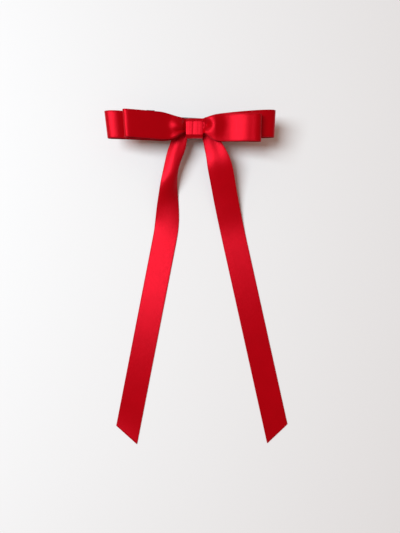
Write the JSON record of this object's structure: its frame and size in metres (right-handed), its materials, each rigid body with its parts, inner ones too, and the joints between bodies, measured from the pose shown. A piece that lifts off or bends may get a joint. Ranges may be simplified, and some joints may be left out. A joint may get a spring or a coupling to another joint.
{
  "type": "hair bow",
  "caption": "Two-tier red satin ribbon bow with a pleated centre wrap and long slant-cut tails, fixed on a sprung hair clip that opens and shuts.",
  "frame": {"origin": "middle of the closing arm's flat underside, on the surface that the bow lies on", "axes": "+X along the bow, the bow seen from its front with +Y upwards and the tails running towards -Y; +Z out of the bow's front, away from the head"},
  "size_m": [0.1124, 0.2108, 0.0261],
  "materials": {
    "satin_ribbon": "glossy red satin",
    "thread": "twisted red thread",
    "glue": "cloudy hot-melt",
    "clip_black": "black, satin",
    "spring_steel": "dark satin",
    "pin_steel": "bright satin"
  },
  "bodies": {
    "bow": {"outer_loop": "satin_ribbon", "inner_loop": "satin_ribbon", "tail_gather": "satin_ribbon", "centre_wrap": "satin_ribbon", "cinch_thread": "thread", "glue_pad": "glue", "base_plate": "clip_black", "hinge_pin": "pin_steel", "catch_base": "clip_black", "catch_rivet": "pin_steel"},
    "left_tail": {"left_tail": "satin_ribbon"},
    "right_tail": {"right_tail": "satin_ribbon"},
    "arm": {"closing_arm": "clip_black", "tension_spring": "spring_steel"},
    "jaw_front": {"catch_jaw_front": "clip_black"},
    "jaw_rear": {"catch_jaw_rear": "clip_black"}
  },
  "joints": [
    {"name": "left_tail_lift", "type": "hinge", "parent": "bow", "child": "left_tail", "pos_m": [-0.0088, -0.01458, 0.0111], "axis": [-0.9243, 0.376, 0.0663], "range_deg": [0, 60]},
    {"name": "right_tail_lift", "type": "hinge", "parent": "bow", "child": "right_tail", "pos_m": [0.0142, -0.01458, 0.0111], "axis": [-0.9243, -0.376, -0.0663], "range_deg": [0, 60]},
    {"name": "arm_swing", "type": "hinge", "parent": "bow", "child": "arm", "pos_m": [0.02796, -0.00146, 0.0019], "axis": [-0.0523, -0.9986, 0], "range_deg": [0, 75]},
    {"name": "front_squeeze", "type": "hinge", "parent": "bow", "child": "jaw_front", "pos_m": [-0.02565, -0.00216, 0.006], "axis": [0.9986, -0.0523, 0], "range_deg": [-12, 0], "stiffness_Nm_per_rad": 0.1},
    {"name": "rear_squeeze", "type": "hinge", "parent": "bow", "child": "jaw_rear", "pos_m": [-0.02528, 0.00483, 0.006], "axis": [0.9986, -0.0523, 0], "range_deg": [0, 12], "stiffness_Nm_per_rad": 0.1}
  ]
}
